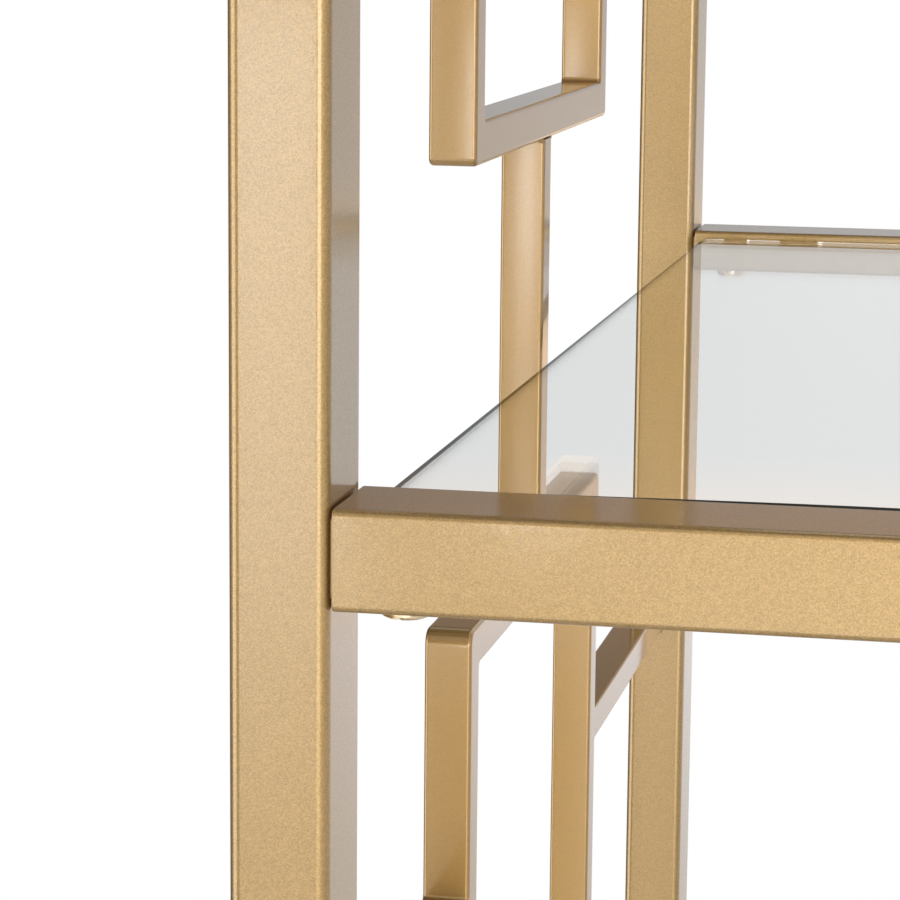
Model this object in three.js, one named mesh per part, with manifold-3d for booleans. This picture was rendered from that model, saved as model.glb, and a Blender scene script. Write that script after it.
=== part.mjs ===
// A four-shelf metal and glass etagere with rectangular fretwork sides.
// Millimetres, +Z up. X runs from left to right, the front is toward -Y,
// and the origin is on the floor under the middle of the frame.
import * as THREE from 'three';
import { mergeVertices } from 'three/addons/utils/BufferGeometryUtils.js';
import Module from 'manifold-3d';

const wasm = await Module();
wasm.setup();

// Overall frame
const overallWidth = 760;
const overallDepth = 420;
const overallHeight = 1560;
const lowestShelfHeight = 120;
const shelfCount = 4;

// One flat-sided tube makes the posts, the end rails and the shelf rails
const tubeNarrow = 15;
const tubeWide = 20;
const tubeWall = 1.2;
const tubeCorner = 1.35;

// The joint left open at each end of a shelf rail
const railEndGap = 0.4;

// Tongues on the posts that the rails slide over
const tongueLength = 16;
const tonguePlay = 0.4;

// Pan-head screws that hold each rail end to its tongue from below
const screwShankDiameter = 4;
const screwShankLength = 8;
const screwHeadDiameter = 7.5;
const screwHeadHeight = 2.6;
const screwPlay = 0.35;
const screwInset = 9.2;
const recessWidth = 1.1;
const recessSpan = 4.2;
const recessDepth = 1.3;

// Glass panes and the tabs that carry them
const glassThickness = 5;
const glassDrop = 1.8;
const glassPostGap = 2.5;
const glassRailGap = 1;
const glassCorner = 12;
const glassSeatGap = 0.3;
const tabLength = 22;
const tabReach = 12;
const tabThickness = 1.5;
const tabInset = 95;
const dotDiameter = 8;
const dotHeight = 1.2;

// Fretwork of solid bar, flush with the outer faces of the posts
const fretThickness = 9;
const fretFace = 8;
const fretCorner = 0.8;
const loopWidth = 150;
const loopAboveShelf = 37.5;
const loopBelowShelf = 48;
const loopCorner = 2.5;
const tieInset = 53;

// Push-in feet
const footHeight = 6;
const footFlare = 1.5;
const footStem = 16;
const footStemPlay = 0.35;
const footStep = 1;

// Facets on round shapes, and how far a cutter runs past the face it cuts
const cornerSteps = 2;
const glassCornerSteps = 6;
const roundSides = 12;
const cutOverrun = 1;

// Finishes
const brass = { color: 0xc9a66b, roughness: 0.38, metalness: 0.85 };
const glass = { color: 0xdfe6e4, roughness: 0.04, metalness: 0, transparent: true, opacity: 0.35 };
const zinc = { color: 0xb99a63, roughness: 0.35, metalness: 0.9 };
const plastic = { color: 0x1d1b19, roughness: 0.6, metalness: 0 };

// Places worked out from the sizes above
const halfWidth = overallWidth / 2;
const halfDepth = overallDepth / 2;
const shelfPitch = (overallHeight - lowestShelfHeight) / (shelfCount - 1);
const shelfTops = Array.from({ length: shelfCount }, (_, level) => lowestShelfHeight + level * shelfPitch);
const postCentreX = halfWidth - tubeNarrow / 2;
const postCentreY = halfDepth - tubeWide / 2;
const innerHalfWidth = halfWidth - tubeNarrow;
const innerHalfDepth = halfDepth - tubeWide;
const fretCentreX = halfWidth - fretThickness / 2;
const sides = [
  { name: 'left', sign: -1 },
  { name: 'right', sign: 1 },
];
const faces = [
  { name: 'front', sign: -1 },
  { name: 'rear', sign: 1 },
];

// Solids: closed meshes from three.js geometry, joined and cut by manifold-3d

function toSolid(geometry, matrix = new THREE.Matrix4()) {
  const bare = geometry.index ? geometry.toNonIndexed() : geometry.clone();
  bare.deleteAttribute('normal');
  bare.deleteAttribute('uv');
  bare.applyMatrix4(matrix);
  const merged = mergeVertices(bare);
  return new wasm.Manifold(new wasm.Mesh({
    numProp: 3,
    vertProperties: new Float32Array(merged.attributes.position.array),
    triVerts: new Uint32Array(merged.index.array),
  }));
}

function toGeometry(solid) {
  const mesh = solid.getMesh();
  const geometry = new THREE.BufferGeometry();
  geometry.setAttribute('position', new THREE.BufferAttribute(mesh.vertProperties, mesh.numProp));
  geometry.setIndex(new THREE.BufferAttribute(mesh.triVerts, 1));
  const flat = geometry.toNonIndexed();
  flat.computeVertexNormals();
  return flat;
}

function union(solids) {
  return solids.reduce((whole, solid) => whole.add(solid));
}

function box(sizeX, sizeY, sizeZ, x = 0, y = 0, z = 0) {
  return toSolid(new THREE.BoxGeometry(sizeX, sizeY, sizeZ), new THREE.Matrix4().makeTranslation(x, y, z));
}

// A rectangle with round corners, drawn about its centre
function roundedRectangle(width, height, radius, steps) {
  const points = [];
  const centres = [[1, 1], [-1, 1], [-1, -1], [1, -1]];
  centres.forEach(([signX, signY], quarter) => {
    for (let step = 0; step <= steps; step += 1) {
      const angle = (quarter + step / steps) * Math.PI / 2;
      points.push(new THREE.Vector2(
        signX * (width / 2 - radius) + radius * Math.cos(angle),
        signY * (height / 2 - radius) + radius * Math.sin(angle),
      ));
    }
  });
  return new THREE.Shape(points);
}

// The turn that takes a bar drawn along +Z to lie along the named axis
const turns = {
  x: new THREE.Matrix4().makeBasis(
    new THREE.Vector3(0, 1, 0), new THREE.Vector3(0, 0, 1), new THREE.Vector3(1, 0, 0)),
  y: new THREE.Matrix4().makeBasis(
    new THREE.Vector3(0, 0, 1), new THREE.Vector3(1, 0, 0), new THREE.Vector3(0, 1, 0)),
  z: new THREE.Matrix4(),
};

// A straight bar of a round-cornered section, centred on the origin along an axis.
// Along x the section's width lies in Y and its height in Z, along y they lie in Z
// and X, and along z in X and Y.
function bar(width, height, length, radius, axis, steps = cornerSteps) {
  const shape = roundedRectangle(width, height, radius, steps);
  const geometry = new THREE.ExtrudeGeometry(shape, { depth: length, bevelEnabled: false });
  geometry.translate(0, 0, -length / 2);
  return toSolid(geometry, turns[axis]);
}

// The inside of the tube, and the tube itself, open at both ends
function tubeBore(width, height, length, axis) {
  const boreCorner = Math.max(tubeCorner - tubeWall, tubeWall / 4);
  return bar(width - 2 * tubeWall, height - 2 * tubeWall, length, boreCorner, axis);
}

function tube(width, height, length, axis) {
  return bar(width, height, length, tubeCorner, axis)
    .subtract(tubeBore(width, height, length + 2 * cutOverrun, axis));
}

function cylinder(diameter, length) {
  const geometry = new THREE.CylinderGeometry(diameter / 2, diameter / 2, length, roundSides);
  geometry.rotateX(Math.PI / 2);
  return toSolid(geometry);
}

const etagere = new THREE.Group();

function place(name, solid, finish, x = 0, y = 0, z = 0) {
  const mesh = new THREE.Mesh(toGeometry(solid), new THREE.MeshStandardMaterial(finish));
  mesh.name = name;
  mesh.position.set(x, y, z);
  etagere.add(mesh);
  return mesh;
}

// Posts: a capped tube, open below for its foot, with a welded tongue at each shelf

const tongueWidth = tubeWide - 2 * tubeWall - 2 * tonguePlay;
const tongueHeight = tubeNarrow - 2 * tubeWall - 2 * tonguePlay;
const postHeight = overallHeight - footHeight;
const screwHoleDiameter = screwShankDiameter + 2 * screwPlay;

// Drawn pointing to +X from the post's face, with its root in the wall of the post
function makeTongue() {
  const root = tubeWall / 2;
  const blank = box(tongueLength + root, tongueWidth, tongueHeight, (tongueLength - root) / 2);
  const hole = cylinder(screwHoleDiameter, tongueHeight + 2 * cutOverrun).translate([screwInset, 0, 0]);
  return blank.subtract(hole);
}

function makePost(sideSign) {
  const bore = tubeBore(tubeNarrow, tubeWide, postHeight, 'z').translate([0, 0, -tubeWall]);
  const tongue = sideSign < 0 ? makeTongue() : makeTongue().mirror([1, 0, 0]);
  let post = bar(tubeNarrow, tubeWide, postHeight, tubeCorner, 'z').subtract(bore);
  shelfTops.forEach((top) => {
    const z = top - tubeNarrow / 2 - footHeight - postHeight / 2;
    post = post.add(tongue.translate([-sideSign * tubeNarrow / 2, 0, z]));
  });
  return post;
}

sides.forEach((side) => {
  faces.forEach((face) => {
    place(`post_${face.name}_${side.name}`, makePost(side.sign), brass,
      side.sign * postCentreX, face.sign * postCentreY, footHeight + postHeight / 2);
  });
});

// Feet: a stepped pad under each post, with a stem up its bore

function makeFoot() {
  const width = tubeNarrow + 2 * footFlare;
  const depth = tubeWide + 2 * footFlare;
  const sole = bar(width - 2 * footStep, depth - 2 * footStep, footHeight, tubeCorner, 'z');
  const flange = bar(width, depth, footHeight - footStep, tubeCorner, 'z').translate([0, 0, footStep / 2]);
  const stemInset = 2 * (tubeWall + footStemPlay);
  const stem = box(tubeNarrow - stemInset, tubeWide - stemInset, footStem + footStep,
    0, 0, (footHeight + footStem - footStep) / 2);
  return union([sole, flange, stem]);
}

sides.forEach((side) => {
  faces.forEach((face) => {
    place(`foot_${face.name}_${side.name}`, makeFoot(), plastic,
      side.sign * postCentreX, face.sign * postCentreY, footHeight / 2);
  });
});

// End rails: the top and bottom of each welded side

const endRailLevels = [
  { name: 'bottom', top: shelfTops[0] },
  { name: 'top', top: shelfTops[shelfCount - 1] },
];

sides.forEach((side) => {
  endRailLevels.forEach((level) => {
    place(`end_rail_${level.name}_${side.name}`,
      tube(tubeWide, tubeNarrow, 2 * innerHalfDepth, 'y'), brass,
      side.sign * postCentreX, 0, level.top - tubeWide / 2);
  });
});

// Shelf rails: open tubes between the posts, each with two tabs and their soft dots

const railLength = 2 * (innerHalfWidth - railEndGap);
const dotTopDepth = glassDrop + glassThickness + glassSeatGap;
const tabTopDepth = dotTopDepth + dotHeight;
const tabX = innerHalfWidth - tabInset;

// Drawn about the rail's middle, pointing to +Y, with depths counted from the rail's top
function makeTab() {
  const root = tubeWall / 2;
  const plate = box(tabLength, tabReach + root, tabThickness,
    0, (tubeWide + tabReach - root) / 2, tubeNarrow / 2 - tabTopDepth - tabThickness / 2);
  const dotY = tubeWide / 2 + (tabReach + glassRailGap) / 2;
  const dotZ = tubeNarrow / 2 - dotTopDepth - (dotHeight + tabThickness) / 2;
  return plate.add(cylinder(dotDiameter, dotHeight + tabThickness).translate([0, dotY, dotZ]));
}

function makeShelfRail(faceSign) {
  const tab = makeTab();
  const hole = cylinder(screwHoleDiameter, tubeWall + 2 * cutOverrun);
  let rail = tube(tubeWide, tubeNarrow, railLength, 'x');
  [-1, 1].forEach((end) => {
    rail = rail
      .subtract(hole.translate([end * (innerHalfWidth - screwInset), 0, (tubeWall - tubeNarrow) / 2]))
      .add(tab.translate([end * tabX, 0, 0]));
  });
  return faceSign < 0 ? rail : rail.mirror([0, 1, 0]);
}

shelfTops.forEach((top, level) => {
  faces.forEach((face) => {
    place(`shelf_rail_${face.name}_${level + 1}`, makeShelfRail(face.sign), brass,
      0, face.sign * postCentreY, top - tubeNarrow / 2);
  });
});

// Screws: a pan head with a cross recess, driven up through the rail into the tongue

function makeScrew() {
  const headRadius = screwHeadDiameter / 2;
  const shankRadius = screwShankDiameter / 2;
  const domeShares = [[0, 1], [0.45, 0.95], [0.8, 0.76], [1, 0.42]];
  const profile = domeShares.map(([radiusShare, heightShare]) => (
    new THREE.Vector2(radiusShare * headRadius, -heightShare * screwHeadHeight)));
  profile.push(new THREE.Vector2(headRadius, 0));
  profile.push(new THREE.Vector2(shankRadius, 0));
  profile.push(new THREE.Vector2(shankRadius, screwShankLength));
  profile.push(new THREE.Vector2(0, screwShankLength));
  const turned = new THREE.LatheGeometry(profile, roundSides);
  turned.rotateX(Math.PI / 2);
  const recessZ = -screwHeadHeight - cutOverrun + (recessDepth + cutOverrun) / 2;
  const recessHeight = recessDepth + cutOverrun;
  return toSolid(turned)
    .subtract(box(recessSpan, recessWidth, recessHeight, 0, 0, recessZ))
    .subtract(box(recessWidth, recessSpan, recessHeight, 0, 0, recessZ));
}

shelfTops.forEach((top, level) => {
  faces.forEach((face) => {
    sides.forEach((side) => {
      place(`rail_screw_${face.name}_${side.name}_${level + 1}`, makeScrew(), zinc,
        side.sign * (innerHalfWidth - screwInset), face.sign * postCentreY, top - tubeNarrow);
    });
  });
});

// Glass panes, loose between the rails on the dots of their tabs

const glassWidth = 2 * (innerHalfWidth - glassPostGap);
const glassDepth = 2 * (innerHalfDepth - glassRailGap);

shelfTops.forEach((top, level) => {
  const pane = bar(glassWidth, glassDepth, glassThickness, glassCorner, 'z', glassCornerSteps);
  place(`glass_shelf_${level + 1}`, pane, glass, 0, 0, top - glassDrop - glassThickness / 2);
});

// Fretwork: between two shelves each side has a loop of bar, tied to both posts

const loopHeight = shelfPitch - loopAboveShelf - loopBelowShelf;

function makeLoop() {
  const outline = roundedRectangle(loopWidth, loopHeight, loopCorner, cornerSteps);
  const openingY = loopWidth / 2 - fretFace;
  const openingZ = loopHeight / 2 - fretFace;
  outline.holes.push(new THREE.Path([
    new THREE.Vector2(openingY, openingZ),
    new THREE.Vector2(openingY, -openingZ),
    new THREE.Vector2(-openingY, -openingZ),
    new THREE.Vector2(-openingY, openingZ),
  ]));
  const geometry = new THREE.ExtrudeGeometry(outline, { depth: fretThickness, bevelEnabled: false });
  geometry.translate(0, 0, -fretThickness / 2);
  let loop = toSolid(geometry, turns.x);
  const root = fretFace / 2;
  const tieLength = innerHalfDepth - loopWidth / 2;
  const tie = bar(fretFace, fretThickness, tieLength + root, fretCorner, 'y');
  const tieY = (loopWidth + tieLength - root) / 2;
  const tieZ = loopHeight / 2 - tieInset - fretFace / 2;
  faces.forEach((face) => {
    [-1, 1].forEach((end) => {
      loop = loop.add(tie.translate([0, face.sign * tieY, end * tieZ]));
    });
  });
  return loop;
}

sides.forEach((side) => {
  shelfTops.slice(0, -1).forEach((top, bay) => {
    place(`fret_loop_${side.name}_${bay + 1}`, makeLoop(), brass,
      side.sign * fretCentreX, 0, top + loopAboveShelf + loopHeight / 2);
  });
});

// Links: upright bars that join the loops to each other and to the end rails

sides.forEach((side) => {
  shelfTops.forEach((top, level) => {
    const isLowest = level === 0;
    const isHighest = level === shelfCount - 1;
    const bottom = isLowest ? top : top - loopBelowShelf;
    const upper = isHighest ? top - tubeWide : top + loopAboveShelf;
    place(`fret_link_${side.name}_${level + 1}`,
      bar(fretThickness, fretFace, upper - bottom, fretCorner, 'z'), brass,
      side.sign * fretCentreX, 0, (bottom + upper) / 2);
  });
});

export default etagere;
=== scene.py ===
"""A four-shelf metal and glass etagere with fretwork sides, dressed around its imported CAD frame.

Metres, +Z up. X runs from left to right, and the front is toward -Y. Every piece takes its place and
its main sizes from the boxes of the CAD nodes that it stands for.
"""

import logging
import math
from collections.abc import Iterable, Sequence
from dataclasses import dataclass, field
from enum import Enum

import bmesh
import bpy
from mathutils import Euler, Matrix, Vector
from mathutils.geometry import tessellate_polygon


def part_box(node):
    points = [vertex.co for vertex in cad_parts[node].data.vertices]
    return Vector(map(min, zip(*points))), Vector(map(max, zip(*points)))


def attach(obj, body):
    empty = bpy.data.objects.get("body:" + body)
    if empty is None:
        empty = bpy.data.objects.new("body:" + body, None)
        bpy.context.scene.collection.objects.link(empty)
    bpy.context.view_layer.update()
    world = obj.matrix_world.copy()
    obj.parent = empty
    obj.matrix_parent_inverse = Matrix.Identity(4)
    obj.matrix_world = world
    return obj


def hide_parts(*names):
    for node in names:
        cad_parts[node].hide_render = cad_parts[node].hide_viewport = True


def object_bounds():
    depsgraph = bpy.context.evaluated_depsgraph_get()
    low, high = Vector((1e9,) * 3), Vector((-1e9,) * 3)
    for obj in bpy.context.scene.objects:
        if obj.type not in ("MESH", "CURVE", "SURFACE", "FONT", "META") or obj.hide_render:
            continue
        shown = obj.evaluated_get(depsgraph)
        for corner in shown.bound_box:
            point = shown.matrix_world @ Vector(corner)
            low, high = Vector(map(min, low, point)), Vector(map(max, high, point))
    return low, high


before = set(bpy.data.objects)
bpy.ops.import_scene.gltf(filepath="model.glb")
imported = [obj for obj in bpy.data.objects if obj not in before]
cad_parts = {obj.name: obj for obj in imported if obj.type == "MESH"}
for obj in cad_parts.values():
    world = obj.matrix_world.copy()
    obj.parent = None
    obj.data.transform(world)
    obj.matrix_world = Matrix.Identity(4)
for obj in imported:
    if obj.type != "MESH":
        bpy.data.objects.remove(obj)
CAD_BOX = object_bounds()

LOG = logging.getLogger("etagere")
FRAME_BODY = "frame"
SIDES = {"left": -1, "right": 1}
FACES = {"front": -1, "rear": 1}
LEVELS = (1, 2, 3, 4)
BAYS = (1, 2, 3)

# The nodes whose boxes give the section of the tube and of the fretwork's bar.
TUBE_NODE = "end_rail_bottom_left"
BAR_NODE = "fret_link_left_1"

Colour = tuple[float, float, float, float]
Station = tuple[float, float]


class Slot(Enum):
    """The record's material slots."""

    FRAME = "gold_frame"
    RAIL = "gold_rail"
    FRETWORK = "gold_fretwork"
    SCREW = "screw_metal"
    GLASS = "shelf_glass"
    FOOT = "foot_plastic"


class Axis(Enum):
    """The axis that a bar drawn along Z is turned to lie along, and the turn that does it."""

    X = Matrix(((0, 0, 1, 0), (1, 0, 0, 0), (0, 1, 0, 0), (0, 0, 0, 1)))
    Y = Matrix(((0, 1, 0, 0), (0, 0, 1, 0), (1, 0, 0, 0), (0, 0, 0, 1)))


class Operation(Enum):
    """What a tool solid does to the solid that it meets."""

    JOIN = "UNION"
    CUT = "DIFFERENCE"


@dataclass(frozen=True)
class Extent:
    """The box that a CAD node fills."""

    low: Vector
    high: Vector

    @classmethod
    def of(cls, node: str) -> "Extent":
        """The box of the CAD node of a given name."""
        low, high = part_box(node)
        return cls(low, high)

    @property
    def centre(self) -> Vector:
        """The middle of the box."""
        return (self.low + self.high) / 2

    @property
    def size(self) -> Vector:
        """The box's length along each axis."""
        return self.high - self.low


@dataclass(frozen=True)
class Outline:
    """A closed flat line with the solid on its left, and the way out of the solid at each point."""

    points: tuple[Vector, ...]
    outward: tuple[Vector, ...]

    @classmethod
    def through(cls, corners: Sequence[Vector], radii: Sequence[float], steps: int) -> "Outline":
        """Draws straight lines between corners and rounds each corner.

        Args:
            corners: the corners in order, with the solid on the left.
            radii: the radius at each corner, 0 for a sharp one.
            steps: how many straight steps make a round corner.

        Returns:
            The outline.
        """
        points: list[Vector] = []
        outward: list[Vector] = []
        for index, (corner, radius) in enumerate(zip(corners, radii)):
            before = (corner - corners[index - 1]).normalized()
            after = (corners[(index + 1) % len(corners)] - corner).normalized()
            start = Vector((before.y, -before.x))
            end = Vector((after.y, -after.x))
            mitre = (start + end) / (1 + start.dot(end))
            if radius == 0:
                points.append(corner)
                outward.append(mitre)
                continue
            turn = math.copysign(start.angle(end), before.cross(after))
            bend = math.copysign(1, turn)
            centre = corner - mitre * radius * bend
            for step in range(steps + 1):
                direction = Matrix.Rotation(turn * step / steps, 2) @ start
                points.append(centre + direction * radius * bend)
                outward.append(direction)
        return cls(tuple(points), tuple(outward))

    @classmethod
    def rectangle(cls, width: float, height: float, radius: float, steps: int) -> "Outline":
        """A rectangle about the origin with round corners.

        Args:
            width: its size along the first axis.
            height: its size along the second axis.
            radius: the radius of its corners, 0 for sharp ones.
            steps: how many straight steps make a round corner.

        Returns:
            The outline.
        """
        signs = ((1, -1), (1, 1), (-1, 1), (-1, -1))
        corners = [Vector((x * width / 2, y * height / 2)) for x, y in signs]
        return cls.through(corners, [radius] * len(corners), steps)

    @classmethod
    def circle(cls, radius: float, sides: int) -> "Outline":
        """A circle about the origin.

        Args:
            radius: its radius.
            sides: how many straight sides it has.

        Returns:
            The outline.
        """
        angles = [math.tau * side / sides for side in range(sides)]
        outward = tuple(Vector((math.cos(angle), math.sin(angle))) for angle in angles)
        return cls(tuple(direction * radius for direction in outward), outward)


def quarter(steps: int) -> list[tuple[float, float]]:
    """The points of a quarter round, each as its share of the radius inside the wall and of the rise."""
    angles = [math.pi / 2 * step / steps for step in range(steps + 1)]
    return [(1 - math.sin(angle), 1 - math.cos(angle)) for angle in angles]


def block_stations(length: float, radius: float, steps: int) -> list[Station]:
    """The inset and height of each ring of a block with round edges about its end faces, lowest first."""
    rise = [(radius * inset, radius * up - length / 2) for inset, up in quarter(steps)]
    return rise + [(inset, -height) for inset, height in reversed(rise)]


class Draft:
    """A mesh in the making: its corners, its faces and the number of each face's finish."""

    def __init__(self) -> None:
        """Starts with nothing."""
        self.corners: list[Vector] = []
        self.faces: list[tuple[int, ...]] = []
        self.finishes: list[int] = []

    def ring(self, outline: Outline, inset: float, height: float, place: Matrix) -> list[int]:
        """Adds the corners of an outline at one height.

        Args:
            outline: the outline to follow.
            inset: how far inside it the corners lie.
            height: how far along the third axis they lie.
            place: where the drawing goes.

        Returns:
            The corners' numbers.
        """
        start = len(self.corners)
        for point, outward in zip(outline.points, outline.outward):
            at = point - outward * inset
            self.corners.append(place @ Vector((at.x, at.y, height)))
        return list(range(start, len(self.corners)))

    def bridge(self, lower: Sequence[int], upper: Sequence[int], finish: int = 0) -> None:
        """Joins two rings with a band of faces.

        Args:
            lower: the first ring's corners.
            upper: the second ring's corners.
            finish: the number of the band's finish.
        """
        count = len(lower)
        for index in range(count):
            other = (index + 1) % count
            self.faces.append((lower[index], lower[other], upper[other], upper[index]))
            self.finishes.append(finish)

    def cap(self, rings: Sequence[Sequence[int]], finish: int = 0) -> None:
        """Closes a ring, or the space between a ring and those inside it.

        Args:
            rings: the outer ring and any inner ones.
            finish: the number of the cap's finish.
        """
        numbers = [number for ring in rings for number in ring]
        lines = [[self.corners[number] for number in ring] for ring in rings]
        for triangle in tessellate_polygon(lines):
            self.faces.append(tuple(numbers[index] for index in triangle))
            self.finishes.append(finish)

    def walls(
        self, outline: Outline, stations: Iterable[Station], place: Matrix, finish: int = 0
    ) -> list[list[int]]:
        """Adds a wall that follows an outline through several rings.

        Args:
            outline: the outline to follow.
            stations: each ring's inset and height.
            place: where the drawing goes.
            finish: the number of the wall's finish.

        Returns:
            The rings.
        """
        rings = [self.ring(outline, inset, height, place) for inset, height in stations]
        for lower, upper in zip(rings, rings[1:]):
            self.bridge(lower, upper, finish)
        return rings

    def block(
        self, outlines: Sequence[Outline], stations: Sequence[Station], place: Matrix, wall_finish: int = 0
    ) -> None:
        """Adds a solid with an outer outline and any holes.

        Args:
            outlines: the outer outline and those of the holes.
            stations: each ring's inset and height.
            place: where the drawing goes.
            wall_finish: the number of the walls' finish.
        """
        walls = [self.walls(outline, stations, place, wall_finish) for outline in outlines]
        self.cap([rings[0] for rings in walls])
        self.cap([rings[-1] for rings in walls])

    def lathe(self, profile: Sequence[Station], sides: int) -> None:
        """Adds a solid turned about the Z axis.

        Args:
            profile: the radius and height of each ring, between a point on the axis at each end.
            sides: how many sides it has.
        """
        round_line = Outline.circle(1, sides)
        tips = []
        for height in (profile[0][1], profile[-1][1]):
            tips.append(len(self.corners))
            self.corners.append(Vector((0, 0, height)))
        rings = []
        for radius, height in profile[1:-1]:
            start = len(self.corners)
            for direction in round_line.outward:
                self.corners.append(Vector((direction.x * radius, direction.y * radius, height)))
            rings.append(list(range(start, len(self.corners))))
        for lower, upper in zip(rings, rings[1:]):
            self.bridge(lower, upper)
        for tip, ring in ((tips[0], rings[0]), (tips[1], rings[-1])):
            for index, number in enumerate(ring):
                self.faces.append((number, ring[index - 1], tip))
                self.finishes.append(0)

    def build(self, name: str) -> bpy.types.Object:
        """Turns the draft into an object in the scene.

        Args:
            name: the object's name.

        Returns:
            The object, at the origin.
        """
        mesh = bpy.data.meshes.new(name)
        mesh.from_pydata(self.corners, [], self.faces)
        mesh.polygons.foreach_set("material_index", self.finishes)
        work = bmesh.new()
        work.from_mesh(mesh)
        bmesh.ops.remove_doubles(work, verts=work.verts, dist=Bench.merge_distance)
        bmesh.ops.dissolve_degenerate(work, edges=work.edges, dist=Bench.merge_distance)
        bmesh.ops.recalc_face_normals(work, faces=work.faces)
        work.to_mesh(mesh)
        work.free()
        made = bpy.data.objects.new(name, mesh)
        bpy.context.scene.collection.objects.link(made)
        return made


class Bench:
    """Finishes objects: joins and cuts them, settles their modifiers and smooths their round edges."""

    merge_distance = 1e-7
    sharp_angle = math.radians(33)
    face_weight = 100

    @staticmethod
    def settle(piece: bpy.types.Object) -> None:
        """Turns what a piece's modifiers make into its plain mesh.

        Args:
            piece: the object to settle.
        """
        depsgraph = bpy.context.evaluated_depsgraph_get()
        evaluated = piece.evaluated_get(depsgraph)
        mesh = bpy.data.meshes.new_from_object(
            evaluated, preserve_all_data_layers=True, depsgraph=depsgraph
        )
        mesh.name = piece.name
        piece.modifiers.clear()
        piece.data = mesh

    @staticmethod
    def combine(piece: bpy.types.Object, tool: bpy.types.Object, operation: Operation) -> None:
        """Joins a tool solid to a piece or cuts it away, and removes the tool.

        Args:
            piece: the solid that stays.
            tool: the solid that is used up.
            operation: whether the tool is joined or cut away.
        """
        modifier = piece.modifiers.new("combine", "BOOLEAN")
        modifier.object = tool
        modifier.operation = operation.value
        modifier.solver = "MANIFOLD"
        Bench.settle(piece)
        Bench.discard(tool)

    @staticmethod
    def discard(tool: bpy.types.Object) -> None:
        """Removes an object that was only a tool or a pattern."""
        bpy.data.objects.remove(tool)

    @staticmethod
    def smooth(piece: bpy.types.Object) -> None:
        """Shades round edges smoothly and keeps flat faces flat.

        Args:
            piece: the object to shade.
        """
        piece.data.shade_smooth()
        piece.data.set_sharp_from_angle(angle=Bench.sharp_angle)
        weighted = piece.modifiers.new("flat faces", "WEIGHTED_NORMAL")
        weighted.keep_sharp = True
        weighted.weight = Bench.face_weight
        Bench.settle(piece)


@dataclass
class Tree:
    """A node tree and short ways to fill it."""

    tree: bpy.types.NodeTree

    def add(
        self,
        kind: str,
        inputs: dict[str | int, object] | None = None,
        settings: dict[str, object] | None = None,
    ) -> bpy.types.Node:
        """Adds a node and feeds it.

        Args:
            kind: the node's type.
            inputs: a value or a socket for each named or numbered input.
            settings: the node's own settings.

        Returns:
            The node.
        """
        node = self.tree.nodes.new(kind)
        for name, value in (settings or {}).items():
            setattr(node, name, value)
        for label, value in (inputs or {}).items():
            self.feed(node.inputs[label], value)
        return node

    def feed(self, socket: bpy.types.NodeSocket, value: object) -> None:
        """Gives a socket a value or a link.

        Args:
            socket: the input.
            value: a plain value, or the output that feeds it.
        """
        if isinstance(value, bpy.types.NodeSocket):
            self.tree.links.new(value, socket)
        else:
            socket.default_value = value

    def ramp(self, factor: bpy.types.NodeSocket, stops: Sequence[tuple[float, Colour]]) -> bpy.types.Node:
        """Adds a colour ramp.

        Args:
            factor: the output that the ramp reads.
            stops: the place and colour of each stop, in order.

        Returns:
            The ramp's node.
        """
        node = self.add("ShaderNodeValToRGB", {"Fac": factor})
        elements = node.color_ramp.elements
        while len(elements) < len(stops):
            elements.new(1)
        for element, (place, colour) in zip(elements, stops):
            element.position = place
            element.color = colour
        return node

    def noise(self, place: bpy.types.NodeSocket, scale: float, detail: float) -> bpy.types.NodeSocket:
        """Adds a noise texture at the given coordinates and gives its value."""
        node = self.add("ShaderNodeTexNoise", {"Vector": place, "Scale": scale, "Detail": detail})
        return node.outputs["Fac"]

    def bump(self, height: bpy.types.NodeSocket, depth: float, strength: float) -> bpy.types.NodeSocket:
        """Adds a bump from a height's share and its full depth in metres, and gives the turned normal."""
        node = self.add("ShaderNodeBump", {"Strength": strength, "Distance": depth, "Height": height})
        return node.outputs["Normal"]

    def scaled(
        self, vector: bpy.types.NodeSocket, factor: bpy.types.NodeSocket | float
    ) -> bpy.types.NodeSocket:
        """Multiplies a vector or a light by a number, or by the output that gives the number."""
        node = self.add("ShaderNodeVectorMath", {0: vector, "Scale": factor}, {"operation": "SCALE"})
        return node.outputs[0]


def grey(value: float) -> Colour:
    """A grey of a given brightness."""
    return (value, value, value, 1)


def shader_tree(name: str) -> tuple[bpy.types.Material, Tree, bpy.types.Node, bpy.types.NodeSocket]:
    """Starts a material with one Principled shader.

    Args:
        name: the material's name.

    Returns:
        The material, its tree, the shader and the output that gives object coordinates.
    """
    material = bpy.data.materials.new(name)
    material.use_nodes = True
    material.node_tree.nodes.clear()
    tree = Tree(material.node_tree)
    shader = tree.add("ShaderNodeBsdfPrincipled")
    tree.add("ShaderNodeOutputMaterial", {"Surface": shader.outputs["BSDF"]})
    place = tree.add("ShaderNodeTexCoord").outputs["Object"]
    return material, tree, shader, place


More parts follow.
